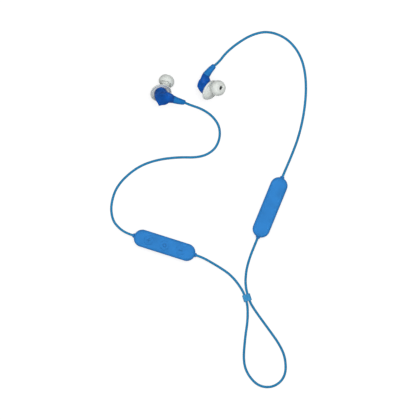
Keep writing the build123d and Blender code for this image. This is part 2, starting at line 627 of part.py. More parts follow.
def driver():
    """Moving-coil driver behind the dome."""
    front = DRIVER_FRONT
    back = front - DRIVER_DEPTH
    frame = drum(DRIVER_RADIUS, back, front)
    frame -= drum(YOKE_RADIUS + SLIP, back - OVERSHOOT, front + OVERSHOOT)
    yoke_floor = back + YOKE_WALL
    yoke = drum(YOKE_RADIUS, back, front - YOKE_SET_BACK)
    yoke -= drum(YOKE_RADIUS - YOKE_WALL, yoke_floor, front)
    coil = drum(COIL_RADIUS, front - COIL_DEPTH, front)
    coil -= drum(COIL_RADIUS - COIL_WALL, back, front + OVERSHOOT)
    return {
        "driver_frame": frame,
        "driver_yoke": yoke,
        "driver_magnet": drum(MAGNET_RADIUS, yoke_floor, yoke_floor + MAGNET_THICKNESS),
        "voice_coil": coil,
        "diaphragm": drum(DIAPHRAGM_RADIUS, front, front + DIAPHRAGM_THICKNESS),
    }


def earbud():
    """All pieces of the right earbud in its own frame."""
    return {
        "rear_shell": rear_shell(),
        "front_shell": front_shell(),
        "nozzle_mesh": nozzle_mesh(),
        "ear_flange": ear_flange(),
        "ear_tip": ear_tip(),
        "strain_relief": strain_relief(),
    } | driver()


def lay_down(pieces, at, heading, droop, roll):
    """Turn an earbud to its resting attitude and set its lowest point on the table."""
    turn = Rot(0, 0, heading) * Rot(0, droop, 0) * Rot(roll, 0, 0)
    lowest = min((turn * piece).bounding_box().min.Z for piece in pieces.values())
    return Pos(at[0], at[1], -lowest) * turn


# ---- cords

def cord(points):
    """Round cord along straight runs joined by tangent arcs, and its smallest bend radius."""
    stops = [Vector(*p) for p in points]
    runs = [b - a for a, b in zip(stops, stops[1:])]
    radii = []
    for before, after in zip(runs, runs[1:]):
        turn = radians(before.get_angle(after))
        radii.append(BEND_SHARE * min(before.length, after.length) / tan(turn / 2))
    path = FilletPolyline(*stops, radius=radii)
    tube = sweep(Plane(origin=path @ 0, z_dir=path % 0) * Circle(CORD_RADIUS), path=path)
    section = Circle(CORD_RADIUS).area
    print(f"length {path.length:.1f}, volume ratio {tube.volume / (section * path.length):.4f}, "
          f"radii {[round(r, 1) for r in radii]}")
    return tube


def ends(place, points):
    """Points of a placed piece in the whole object's frame."""
    return [(place * Pos(*point)).position for point in points]


def pod_exit(place, side):
    """End face of a grommet, and a point further out on the same line."""
    return ends(place, [(side * (CORD_START + out), 0, POD_AXIS) for out in (0, EXIT_RUN)])


def bud_exit(place, side):
    """End face of a strain relief, and a point further out; side is -1 for the left earbud."""
    end = relief_end()
    points = [end.origin + end.z_dir * out for out in (0, EXIT_RUN)]
    return ends(place, [(point.X, side * point.Y, point.Z) for point in points])


def slider_strand(place, side):
    """Two points on one strand's line, either side of the slider."""
    return ends(place, [(out, side * SLIDER_STRAND_SPACING / 2, 0) for out in (-SLIDER_RUN, SLIDER_RUN)])


def flat(*points):
    """Points of a cord that lies on the table."""
    return [(x, y, CORD_REST) for x, y in points]


# ---- the whole object

remote_place = Rot(0, 0, REMOTE_HEADING)
battery_place = Pos(*BATTERY_POD_AT) * Rot(0, 0, BATTERY_POD_HEADING)
slider_place = Pos(*SLIDER_AT, SLIDER_BARREL_RADIUS) * Rot(0, 0, SLIDER_HEADING)

right_bud = earbud()
left_bud = {name: piece.mirror(Plane.XZ) for name, piece in right_bud.items()}
right_place = lay_down(right_bud, RIGHT_BUD_AT, RIGHT_BUD_HEADING, RIGHT_BUD_DROOP, RIGHT_BUD_ROLL)
left_place = lay_down(left_bud, LEFT_BUD_AT, LEFT_BUD_HEADING, LEFT_BUD_DROOP, LEFT_BUD_ROLL)

parts = {name: remote_place * piece for name, piece in remote_pod().items()}
parts |= {name: battery_place * piece for name, piece in battery_pod().items()}
parts |= {f"right_{name}": right_place * piece for name, piece in right_bud.items()}
parts |= {f"left_{name}": left_place * piece for name, piece in left_bud.items()}
parts["cord_slider"] = slider_place * slider()

# Left earbud to remote: an S that swings wide to the right, then to the left.
parts["left_cord"] = cord(
    bud_exit(left_place, -1)
    + [(28.8, 105.0, 5.8), (37.2, 99.3, 2.2)]
    + flat((42.6, 91.0), (42.4, 81.0), (37.6, 72.5), (27.0, 67.5), (9.5, 67.9), (-8.2, 65.4),
           (-22.8, 59.2), (-36.9, 45.9), (-41.6, 30.8), (-40.1, 19.4))
    + [(-35.3, 13.4, 1.9)]
    + pod_exit(remote_place, -1)[::-1]
)

# Remote to battery pod: down through the slider, round the loop and back up through it.
parts["neck_cord"] = cord(
    pod_exit(remote_place, 1)
    + [(39.0, -14.9, 1.4)]
    + flat((48.6, -21.0), (54.3, -26.6))
    + [(58.6, -32.6, 1.4)]
    + slider_strand(slider_place, -1)
    + [(64.0, -49.5, 1.3)]
    + flat((63.9, -58.5), (61.9, -71.5), (60.5, -90.3), (64.9, -101.2), (73.4, -109.1), (84.9, -109.1),
           (93.2, -100.8), (93.2, -87.2), (88.7, -76.6), (79.9, -64.3), (72.6, -54.4))
    + [(68.3, -48.1, 1.3)]
    + slider_strand(slider_place, 1)[::-1]
    + [(62.55, -31.6, 1.3)]
    + flat((62.2, -27.0), (63.0, -18.5), (65.6, -9.2))
    + pod_exit(battery_place, -1)[::-1]
)

# Battery pod to right earbud: a tall arch.
parts["right_cord"] = cord(
    pod_exit(battery_place, 1)
    + [(97.3, 67.9, 1.3)]
    + flat((103.3, 83.5), (107.6, 102.5), (109.2, 121.5), (107.6, 137.5), (102.6, 150.0), (93.4, 159.9),
           (80.2, 164.9), (68.0, 162.6), (56.6, 156.0))
    + [(47.1, 148.1, 2.0)]
    + bud_exit(right_place, 1)[::-1]
)

os.makedirs("parts", exist_ok=True)
for name, piece in parts.items():
    export_step(piece, f"parts/{name}.step")
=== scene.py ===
import json
import logging
from dataclasses import dataclass
from enum import Enum
from math import cos, pi, radians, sin

import bmesh
import bpy
from mathutils import Matrix, Vector


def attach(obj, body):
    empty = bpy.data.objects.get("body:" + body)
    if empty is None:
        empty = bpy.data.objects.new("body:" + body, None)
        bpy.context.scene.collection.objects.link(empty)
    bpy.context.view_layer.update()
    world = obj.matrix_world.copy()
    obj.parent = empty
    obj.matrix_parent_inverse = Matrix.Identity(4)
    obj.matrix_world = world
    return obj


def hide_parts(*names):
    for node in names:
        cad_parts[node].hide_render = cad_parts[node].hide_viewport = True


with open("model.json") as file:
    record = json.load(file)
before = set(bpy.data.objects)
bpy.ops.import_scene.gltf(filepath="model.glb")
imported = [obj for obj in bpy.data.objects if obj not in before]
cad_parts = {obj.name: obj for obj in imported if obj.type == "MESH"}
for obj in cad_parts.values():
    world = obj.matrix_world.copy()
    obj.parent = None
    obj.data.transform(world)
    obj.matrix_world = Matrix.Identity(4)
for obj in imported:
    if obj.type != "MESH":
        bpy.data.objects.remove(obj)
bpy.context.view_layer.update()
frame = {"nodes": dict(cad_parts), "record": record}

# Looks of a pair of wireless in-ear earphones on a thin neck cord, lying flat on a pale table.
# Sizes are in metres, angles in degrees.

LOG = logging.getLogger("earphones")
MM = 0.001
AROUND = 96                 # steps of a full spin
MERGE_DISTANCE = 1e-7       # vertices of a spun form nearer than this become one
REMOTE_HEADING = -17.6      # direction of the remote's long axis
LYING_HEIGHT = 1.0 * MM     # height of the middle of a cord that lies on the table

PATCH_DETAIL = 3            # finer layers of the noise that changes the colour
GLOSS_DETAIL = 4            # finer layers of the noise that changes the gloss
GRAIN_DETAIL = 2            # finer layers of the fine texture
WAVES_PER_METRE = 3         # roughly, the bands of a wave texture at scale 1

CORD_ROUND_STEPS = 4        # steps that round off a cord's section
CORD_COURSE_STEPS = 16      # steps between two points of its route
CORD_ORDER = 3              # order of the curve along its route

Colour = tuple[float, float, float]
Point = tuple[float, float, float]


class Slot(Enum):
    """Material slots of the record."""

    POD = "pod_rubber"
    BUTTON = "button_rubber"
    CORD = "cord_jacket"
    RELIEF = "relief_rubber"
    SHELL = "shell_plastic"
    SILICONE = "silicone"
    SEAL = "seal_rubber"
    BOARD = "board"
    CHIP = "chip"
    STEEL = "steel"
    MAGNET = "magnet"
    COPPER = "copper"
    FILM = "film"
    DRIVER = "driver_plastic"
    CELL = "cell_wrap"
    FOAM = "foam"
    LENS = "lens"


class Side(Enum):
    """Side of the head on which an earbud is worn."""

    LEFT = "left"
    RIGHT = "right"


# ---- finishes


@dataclass(frozen=True)
class Finish:
    """A surface whose colour, gloss and grain vary a little, as a real moulded one does.

    Attributes:
        slot: Material slot of the record.
        colour: Linear base colour.
        roughness: Mean roughness.
        patch: Size of the slow colour changes, in metres.
        shade_change: Share by which those changes lighten and darken the colour.
        grain: Size of the fine texture, in metres.
        grain_height: Height of the fine texture, in metres.
        metallic: 1 for metal.
        specular: Strength of the surface reflection.
        coat: Weight of a clear layer on top.
        subsurface: Share of light that scatters inside.
        transmission: Share of light that passes through.
        gloss_change: Amount by which the roughness rises and falls.
        coat_roughness: Roughness of the clear layer.
        scatter: Distance over which light scatters inside, in metres.
        refraction: Index of refraction.
        tone_stops: Noise values at which the darkest and the lightest tone are reached.
    """

    slot: Slot
    colour: Colour
    roughness: float = 0.5
    patch: float = 0.012
    shade_change: float = 0.06
    grain: float = 0.0004
    grain_height: float = 0.00002
    metallic: float = 0.0
    specular: float = 0.5
    coat: float = 0.0
    subsurface: float = 0.0
    transmission: float = 0.0
    gloss_change: float = 0.06
    coat_roughness: float = 0.25
    scatter: float = 0.002
    refraction: float = 1.45
    tone_stops: tuple[float, float] = (0.3, 0.7)

    def shader_settings(self) -> dict[str, object]:
        """Values that are the same all over the surface, by shader socket."""
        return {
            "Metallic": self.metallic,
            "Specular IOR Level": self.specular,
            "Coat Weight": self.coat,
            "Coat Roughness": self.coat_roughness,
            "Subsurface Weight": self.subsurface,
            "Subsurface Radius": (self.scatter,) * 3,
            "Subsurface Scale": 1.0,
            "Transmission Weight": self.transmission,
            "IOR": self.refraction,
        }

    def noise(self, tree: bpy.types.NodeTree, size: float, detail: float) -> bpy.types.Node:
        """Noise texture on Object coordinates.

        Args:
            tree: Node tree that it goes into.
            size: Size of its features, in metres.
            detail: Number of finer layers.

        Returns:
            The noise node.
        """
        place = tree.nodes.new("ShaderNodeTexCoord")
        noise = tree.nodes.new("ShaderNodeTexNoise")
        noise.inputs["Scale"].default_value = 1.0 / size
        noise.inputs["Detail"].default_value = detail
        tree.links.new(place.outputs["Object"], noise.inputs["Vector"])
        return noise

    def base_colour(self, tree: bpy.types.NodeTree) -> bpy.types.NodeSocket:
        """Colour socket that drifts between a darker and a lighter tone.

        Args:
            tree: Node tree that it goes into.

        Returns:
            The socket that carries the colour.
        """
        ramp = tree.nodes.new("ShaderNodeValToRGB")
        factors = (1 - self.shade_change, 1 + self.shade_change)
        for stop, place, factor in zip(ramp.color_ramp.elements, self.tone_stops, factors):
            stop.position = place
            stop.color = (*(min(1.0, channel * factor) for channel in self.colour), 1)
        tree.links.new(self.noise(tree, self.patch, PATCH_DETAIL).outputs["Fac"], ramp.inputs["Fac"])
        return ramp.outputs["Color"]

    def height(self, tree: bpy.types.NodeTree) -> bpy.types.NodeSocket:
        """Socket with the height of the fine texture, from 0 to 1."""
        return self.noise(tree, self.grain, GRAIN_DETAIL).outputs["Fac"]

    def make(self) -> bpy.types.Material:
        """Makes the finish.

        Returns:
            Its material.
        """
        material = bpy.data.materials.new(self.slot.value)
        material.use_nodes = True
        tree = material.node_tree
        shader = tree.nodes["Principled BSDF"]
        for socket, value in self.shader_settings().items():
            shader.inputs[socket].default_value = value
        tree.links.new(self.base_colour(tree), shader.inputs["Base Color"])

        gloss = tree.nodes.new("ShaderNodeMapRange")
        gloss.inputs["To Min"].default_value = self.roughness - self.gloss_change
        gloss.inputs["To Max"].default_value = self.roughness + self.gloss_change
        gloss_noise = self.noise(tree, self.patch / 2, GLOSS_DETAIL)
        tree.links.new(gloss_noise.outputs["Fac"], gloss.inputs["Value"])
        tree.links.new(gloss.outputs["Result"], shader.inputs["Roughness"])

        bump = tree.nodes.new("ShaderNodeBump")
        bump.inputs["Distance"].default_value = self.grain_height
        tree.links.new(self.height(tree), bump.inputs["Height"])
        tree.links.new(bump.outputs["Normal"], shader.inputs["Normal"])
        return material


@dataclass(frozen=True)
class SignedRubber(Finish):
    """Button rubber whose raised sign is a darker tone than the cap under it.

    Attributes:
        sign_height: Height above which the surface belongs to the sign.
        sign_tone: Factor on the colour of the sign.
    """

    sign_height: float = 0.0082
    sign_tone: float = 0.72

    def base_colour(self, tree: bpy.types.NodeTree) -> bpy.types.NodeSocket:
        """Colour socket with the darker sign.

        Args:
            tree: Node tree that it goes into.

        Returns:
            The socket that carries the colour.
        """
        plain = super().base_colour(tree)
        place = tree.nodes.new("ShaderNodeTexCoord")
        split = tree.nodes.new("ShaderNodeSeparateXYZ")
        above = tree.nodes.new("ShaderNodeMath")
        above.operation = "GREATER_THAN"
        above.inputs[1].default_value = self.sign_height
        mix = tree.nodes.new("ShaderNodeMix")
        mix.data_type = "RGBA"
        mix.inputs["B"].default_value = (*(channel * self.sign_tone for channel in self.colour), 1)
        tree.links.new(place.outputs["Object"], split.inputs["Vector"])
        tree.links.new(split.outputs["Z"], above.inputs[0])
        tree.links.new(above.outputs["Value"], mix.inputs["Factor"])
        tree.links.new(plain, mix.inputs["A"])
        return mix.outputs["Result"]


@dataclass(frozen=True)
class WovenScreen(Finish):
    """Metal gauze, as fine crossing wires."""

    def height(self, tree: bpy.types.NodeTree) -> bpy.types.NodeSocket:
        """Height of the gauze's wires.

        Args:
            tree: Node tree that it goes into.

        Returns:
            The socket that carries the height, from 0 to 1.
        """
        place = tree.nodes.new("ShaderNodeTexCoord")
        wires = []
        for direction in ("X", "Y"):
            wave = tree.nodes.new("ShaderNodeTexWave")
            wave.bands_direction = direction
            wave.inputs["Scale"].default_value = 1 / (WAVES_PER_METRE * self.grain)
            tree.links.new(place.outputs["Object"], wave.inputs["Vector"])
            wires.append(wave.outputs["Fac"])
        crossing = tree.nodes.new("ShaderNodeMath")
        crossing.operation = "MAXIMUM"
        tree.links.new(wires[0], crossing.inputs[0])
        tree.links.new(wires[1], crossing.inputs[1])
        return crossing.outputs["Value"]


def all_finishes() -> dict[Slot, bpy.types.Material]:
    """Makes the finish of every slot.

    Returns:
        Their materials.
    """
    finishes = [
        Finish(Slot.POD, (0.026, 0.208, 0.565), 0.62, patch=0.009, shade_change=0.1, specular=0.12),
        SignedRubber(Slot.BUTTON, (0.025, 0.204, 0.558), 0.6, patch=0.009, shade_change=0.1, specular=0.12),
        Finish(Slot.CORD, (0.014, 0.205, 0.420), 0.6, patch=0.02, grain=0.0006, specular=0.15),
        Finish(Slot.RELIEF, (0.012, 0.175, 0.500), 0.55, patch=0.004, shade_change=0.12, specular=0.15),
        Finish(Slot.SHELL, (0.005, 0.084, 0.385), 0.4, patch=0.005, shade_change=0.3, specular=0.1,
               grain_height=0.000006),
        Finish(Slot.SILICONE, (0.730, 0.762, 0.730), 0.42, patch=0.005, shade_change=0.03,
               grain_height=0.000004, specular=0.15, subsurface=0.4),
        Finish(Slot.SEAL, (0.012, 0.070, 0.190), 0.6),
        Finish(Slot.BOARD, (0.020, 0.160, 0.070), 0.35, coat=0.4, patch=0.002, shade_change=0.2),
        Finish(Slot.CHIP, (0.020, 0.020, 0.022), 0.5, patch=0.001),
        Finish(Slot.STEEL, (0.600, 0.600, 0.610), 0.3, metallic=1.0, grain=0.0002),
        Finish(Slot.MAGNET, (0.700, 0.700, 0.710), 0.15, metallic=1.0, grain_height=0.000002),
        Finish(Slot.COPPER, (0.700, 0.330, 0.160), 0.3, metallic=1.0, grain=0.0001),
        Finish(Slot.FILM, (0.650, 0.600, 0.450), 0.3, coat=0.3),
        Finish(Slot.DRIVER, (0.030, 0.030, 0.032), 0.5),
        Finish(Slot.CELL, (0.600, 0.610, 0.620), 0.4, metallic=0.8, patch=0.004, grain=0.001),
        Finish(Slot.FOAM, (0.030, 0.030, 0.030), 0.9, grain=0.0006, grain_height=0.0002),
        Finish(Slot.LENS, (0.800, 0.830, 0.860), 0.15, transmission=0.6),
    ]
    return {finish.slot: finish.make() for finish in finishes}


def gauze() -> bpy.types.Material:
    """Fine gauze of the nozzle meshes, near black: partly its own dark tone, partly painted shade of the
    deep sound hole.
    """
    # near-black colour: partly the gauze's own dark tone, partly painted shade deep in the sound hole
    return WovenScreen(Slot.STEEL, (0.02, 0.021, 0.022), 0.5, metallic=0.4, grain=0.00012,
                       grain_height=0.00006).make()


def pale_lit_rubber() -> bpy.types.Material:
    """Slider rubber, paler than the pods': partly its own tone, partly painted light from the slider's lit
    side.
    """
    # paler base colour: partly the slider's own tone, partly painted light of its lit side
    return Finish(Slot.POD, (0.050, 0.290, 0.570), 0.6, patch=0.003, shade_change=0.12, specular=0.12).make()


# ---- making pieces


def spun(profile: list[tuple[float, float]]) -> bmesh.types.BMesh:
    """Closed form spun about Z from a profile.

    Args:
        profile: Distances from the axis and heights, in order round the profile. It is closed
            unless it starts and ends on the axis.

    Returns:
        The spun mesh.
    """
    mesh = bmesh.new()
    corners = [mesh.verts.new((radius, 0, height)) for radius, height in profile]
    following = corners[1:] if profile[0][0] == 0 else corners[1:] + corners[:1]
    sides = [mesh.edges.new(pair) for pair in zip(corners, following)]
    bmesh.ops.spin(mesh, geom=corners + sides, cent=(0, 0, 0), axis=(0, 0, 1), angle=2 * pi,
                   steps=AROUND, use_merge=True)
    bmesh.ops.remove_doubles(mesh, verts=mesh.verts, dist=MERGE_DISTANCE)
    bmesh.ops.recalc_face_normals(mesh, faces=mesh.faces)
    return mesh


def near(mesh: bmesh.types.BMesh, heights: tuple[float, float], reach: float) -> list[bmesh.types.BMVert]:
    """Vertices between two heights and within a distance of the axis."""
    return [v for v in mesh.verts if heights[0] <= v.co.z <= heights[1] and v.co.xy.length <= reach]


def finished(name: str, mesh: bmesh.types.BMesh, slot: Slot, materials: dict[Slot, bpy.types.Material],
             place: Matrix, smooth_levels: int = 1) -> bpy.types.Object:
    """Turns a mesh into a piece of the scene.

    Args:
        name: The piece's name.
        mesh: Its mesh, which is freed.
        slot: The material slot that it takes its finish from.
        materials: Materials of every slot.
        place: Where it goes.
        smooth_levels: Levels of subdivision, 0 for none.

    Returns:
        The piece, with its place in its mesh.
    """
    bmesh.ops.transform(mesh, matrix=place, verts=mesh.verts)
    if place.determinant() < 0:
        bmesh.ops.reverse_faces(mesh, faces=mesh.faces)
    data = bpy.data.meshes.new(name)
    mesh.to_mesh(data)
    mesh.free()
    data.shade_smooth()
    data.materials.append(materials[slot])
    piece = bpy.data.objects.new(name, data)
    bpy.context.scene.collection.objects.link(piece)
    if smooth_levels:
        smooth = piece.modifiers.new("smooth", "SUBSURF")
        smooth.levels = smooth.render_levels = smooth_levels
    LOG.info("made %s", name)
    return piece


# ---- earbuds


@dataclass
class Earbud:
    """The soft pieces of one earbud: ear tip, flange and strain relief.

    The earbud's own frame has +Z towards the ear, +X along the cord arm, and z = 0 just above
    the flange's rim. The left earbud mirrors the right one.

    Attributes:
        side: Which earbud it is.
        heading: Heading of its arm.
        droop: Fall of its arm.
        roll: Roll about its arm.
        dome_centre: Height of the front dome's centre.
        cant: Tilt of the nozzle.
        turn: Direction of that tilt.
        tip_seat: Distance from the dome's centre to the ear tip's seat.
        mouth_half_oval: Half the length and half the width of the sound hole.
        mouth_turn: Turn of the sound hole about the nozzle.
        nozzle_half_oval: Half the length and half the width of the nozzle.
        sleeve_radius: Radius inside which a soft piece follows the nozzle's oval.
        arm_end: End of the cord arm.
        relief_end: End of the strain relief.
        relief_drop: Bow of the strain relief.
        relief_start_size: Its half width and half depth at the arm.
        relief_end_radius: Its radius at the cord.
        relief_end_tilt: Tilt of its end.
    """

    side: Side
    heading: float
    droop: float
    roll: float
    dome_centre: float = -2.2 * MM
    cant: float = 34.0
    turn: float = 51.0
    tip_seat: float = 13.0 * MM
    mouth_half_oval: tuple[float, float] = (2.0 * MM, 1.2 * MM)
    mouth_turn: float = 25.0
    nozzle_half_oval: tuple[float, float] = (2.55 * MM, 1.75 * MM)
    sleeve_radius: float = 1.9 * MM
    arm_end: Point = (8.1 * MM, 2.1 * MM, -9.25 * MM)
    relief_end: Point = (17.6 * MM, 0.0, -8.85 * MM)
    relief_drop: float = 0.35 * MM
    relief_start_size: tuple[float, float] = (3.1 * MM, 2.9 * MM)
    relief_end_radius: float = 1.95 * MM
    relief_end_tilt: float = 7.0

    def turned(self) -> Matrix:
        """The earbud's attitude, mirrored for the left one."""
        turn = (Matrix.Rotation(radians(self.heading), 4, "Z") @ Matrix.Rotation(radians(self.droop), 4, "Y")
                @ Matrix.Rotation(radians(self.roll), 4, "X"))
        return turn @ Matrix.Diagonal((1, -1 if self.side is Side.LEFT else 1, 1, 1))

    def nozzle_direction(self) -> Vector:
        """Direction of the right-hand nozzle in the earbud's own frame."""
        cant, turn = radians(self.cant), radians(self.turn)
        return Vector((sin(cant) * cos(turn), sin(cant) * sin(turn), cos(cant)))

    def place(self) -> Matrix:
        """Works out where the earbud is, from its ear tip's seat in the record.

        Returns:
            Matrix from the earbud's own frame to the whole object's.
        """
        turn = self.turned()
        seat = Vector((0, 0, self.dome_centre)) + self.nozzle_direction() * self.tip_seat
        mounts = {mount["name"]: mount for mount in frame["record"]["mounts"]}
        seat_at = Vector(mounts[f"{self.side.value}_tip_seat"]["pos_m"])
        return Matrix.Translation(seat_at - turn @ seat) @ turn

    def nozzle_place(self) -> Matrix:
        """Works out where the nozzle is.

        Returns:
            Matrix from the nozzle's frame, with z along the nozzle, to the whole object's.
        """
        along = self.nozzle_direction()
        across = Vector((1, 0, -along.x / along.z)).normalized()
        axes = Matrix((across, along.cross(across), along)).transposed().to_4x4()
        return self.place() @ Matrix.Translation((0, 0, self.dome_centre)) @ axes

    def fit_nozzle(self, mesh: bmesh.types.BMesh, heights: tuple[float, float]) -> None:
        """Widens the round bore between two heights to the nozzle's oval."""
        stretch = self.nozzle_half_oval[0] / self.nozzle_half_oval[1]
        bmesh.ops.scale(mesh, vec=(stretch, 1, 1), verts=near(mesh, heights, self.sleeve_radius))

    def tip(self, materials: dict[Slot, bpy.types.Material]) -> bpy.types.Object:
        """Makes the mushroom-shaped ear tip with its oval mouth.

        Args:
            materials: Materials of every slot.

        Returns:
            The ear tip.
        """
        # Distances from the nozzle's axis, and heights along it, in millimetres.
        outside = [(5.3, 10.1), (5.75, 10.6), (6.03, 11.4), (6.12, 12.4), (5.9, 14.0), (5.25, 15.3),
                   (4.35, 16.15), (3.3, 16.55), (2.5, 16.65), (1.4, 16.6)]
        mouth = [(1.2, 16.4), (1.2, 16.0), (1.2, 15.15), (1.35, 15.06)]
        bore = [(1.75, 15.06), (1.75, 14.8), (1.75, 11.8), (1.75, 8.8), (1.95, 8.65)]
        hollow = [(2.95, 8.65), (3.2, 8.9), (3.22, 9.8), (3.42, 10.15), (3.8, 10.3), (4.25, 10.27),
                  (4.55, 10.12), (4.7, 9.98), (4.88, 9.9), (5.1, 9.95)]
        mesh = spun([(radius * MM, height * MM) for radius, height in outside + mouth + bore + hollow])
        core_end, mouth_floor, front, mouth_radius = 8.6 * MM, 15.1 * MM, 17.0 * MM, 1.45 * MM
        mouth_verts = near(mesh, (mouth_floor, front), mouth_radius)
        stretch = self.mouth_half_oval[0] / self.mouth_half_oval[1]
        bmesh.ops.scale(mesh, vec=(stretch, 1, 1), verts=mouth_verts)
        bmesh.ops.rotate(mesh, verts=mouth_verts, cent=(0, 0, 0),
                         matrix=Matrix.Rotation(-radians(self.mouth_turn), 3, "Z"))
        self.fit_nozzle(mesh, (core_end, mouth_floor))
        name = f"{self.side.value}_silicone_tip"
        return finished(name, mesh, Slot.SILICONE, materials, self.nozzle_place())

    def flange(self, materials: dict[Slot, bpy.types.Material]) -> bpy.types.Object:
        """Makes the soft dish on the dome, which runs on into a sleeve round the nozzle.

        Args:
            materials: Materials of every slot.

        Returns:
            The flange.
        """
        # Distances from the dome's axis, and heights above its centre, in millimetres.
        outside = [(8.3, 1.5), (8.2, 2.2), (7.8, 3.0), (7.1, 3.65), (6.14, 4.25), (5.0, 4.9), (4.1, 5.5),
                   (3.5, 6.2), (3.3, 7.0), (3.28, 7.7), (3.2, 8.2), (2.95, 8.5)]
        inside = [(2.0, 8.5), (1.78, 8.3), (1.75, 7.4), (1.75, 6.0), (2.1, 5.1), (3.2, 4.5), (4.3, 3.45),
                  (4.9, 2.6), (5.5, 2.7), (6.3, 2.7), (7.0, 2.3), (7.5, 1.65), (7.75, 1.35), (8.1, 1.3)]
        mesh = spun([(radius * MM, height * MM) for radius, height in outside + inside])
        bore_start, sleeve_end = 5.8 * MM, 9.0 * MM
        self.fit_nozzle(mesh, (bore_start, sleeve_end))
        along = self.nozzle_direction()
        tilt_axis = Vector((0, 0, 1)).cross(along)
        full_at, none_at = 6.4 * MM, 2.7 * MM
        for vertex in mesh.verts:
            share = min(1.0, max(0.0, (vertex.co.z - none_at) / (full_at - none_at)))
            eased = share * share * (3 - 2 * share)
            vertex.co.rotate(Matrix.Rotation(radians(self.cant) * eased, 3, tilt_axis))
        name = f"{self.side.value}_silicone_flange"
        centre = self.place() @ Matrix.Translation((0, 0, self.dome_centre))
        return finished(name, mesh, Slot.SILICONE, materials, centre)

    def relief(self, materials: dict[Slot, bpy.types.Material]) -> bpy.types.Object:
        """Makes the tapered, slightly bowed sleeve where the cord leaves the arm.

        Args:
            materials: Materials of every slot.

        Returns:
            The sleeve.
        """
        mesh = bmesh.new()
        # Share of the way along and of the full width: a plug in the arm, the sleeve's outside,
        # and a shallow recess round the cord.
        sections = [(-0.16, 0.46), (-0.16, 0.52), (0.0, 0.52), (0.0, 1.0), (0.015, 1.02), (0.25, 1.0),
                    (0.5, 1.0), (0.75, 1.0), (0.93, 1.0), (0.98, 0.97), (1.0, 0.88), (1.0, 0.56),
                    (0.97, 0.54)]
        start, end = Vector(self.arm_end), Vector(self.relief_end)
        loops = []
        for share, width in sections:
            grown = min(1.0, max(0.0, share))
            half_width, half_depth = (
                (size + (self.relief_end_radius - size) * grown) * width for size in self.relief_start_size
            )
            centre = start.lerp(end, share)
            if share < 0:
                centre = start + Vector((share * (end.x - start.x), 0, 0))
            bow = 4 * grown * (1 - grown)
            centre.z -= self.relief_drop * bow
            ring = bmesh.ops.create_circle(mesh, segments=AROUND // 2, radius=1)["verts"]
            bmesh.ops.scale(mesh, verts=ring, vec=(half_depth, half_width, 1))
            late = max(0.0, 2 * grown - 1)
            lean = Matrix.Rotation(radians(90 - self.relief_end_tilt * late), 3, "Y")
            swing = Matrix.Rotation(2 * (end.y - start.y) / (end.x - start.x) * late, 3, "Z")
            bmesh.ops.rotate(mesh, verts=ring, cent=(0, 0, 0), matrix=swing @ lean)
            bmesh.ops.translate(mesh, verts=ring, vec=centre)
            loops.append(list({edge for vertex in ring for edge in vertex.link_edges}))
        for before, after in zip(loops, loops[1:]):
            bmesh.ops.bridge_loops(mesh, edges=before + after)
        bmesh.ops.holes_fill(mesh, edges=[e for e in mesh.edges if e.is_boundary])
        bmesh.ops.recalc_face_normals(mesh, faces=mesh.faces)
        name = f"{self.side.value}_relief_sleeve"
        return finished(name, mesh, Slot.RELIEF, materials, self.place())

    def build(self, materials: dict[Slot, bpy.types.Material]) -> None:
        """Makes the soft pieces and puts each on its body.

        Args:
            materials: Materials of every slot.
        """
        side = self.side.value
        for piece, body, node in (
            (self.tip(materials), f"{side}_tip", f"{side}_ear_tip"),
            (self.flange(materials), f"{side}_flange", f"{side}_ear_flange"),
            (self.relief(materials), "headset", f"{side}_strain_relief"),
        ):
            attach(piece, body)
            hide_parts(node)


# ---- buttons


class Sign(Enum):
    """Plain sign on a button, and its place along the remote in button pitches."""

    PLUS = -1
    RING = 0
    MINUS = 1


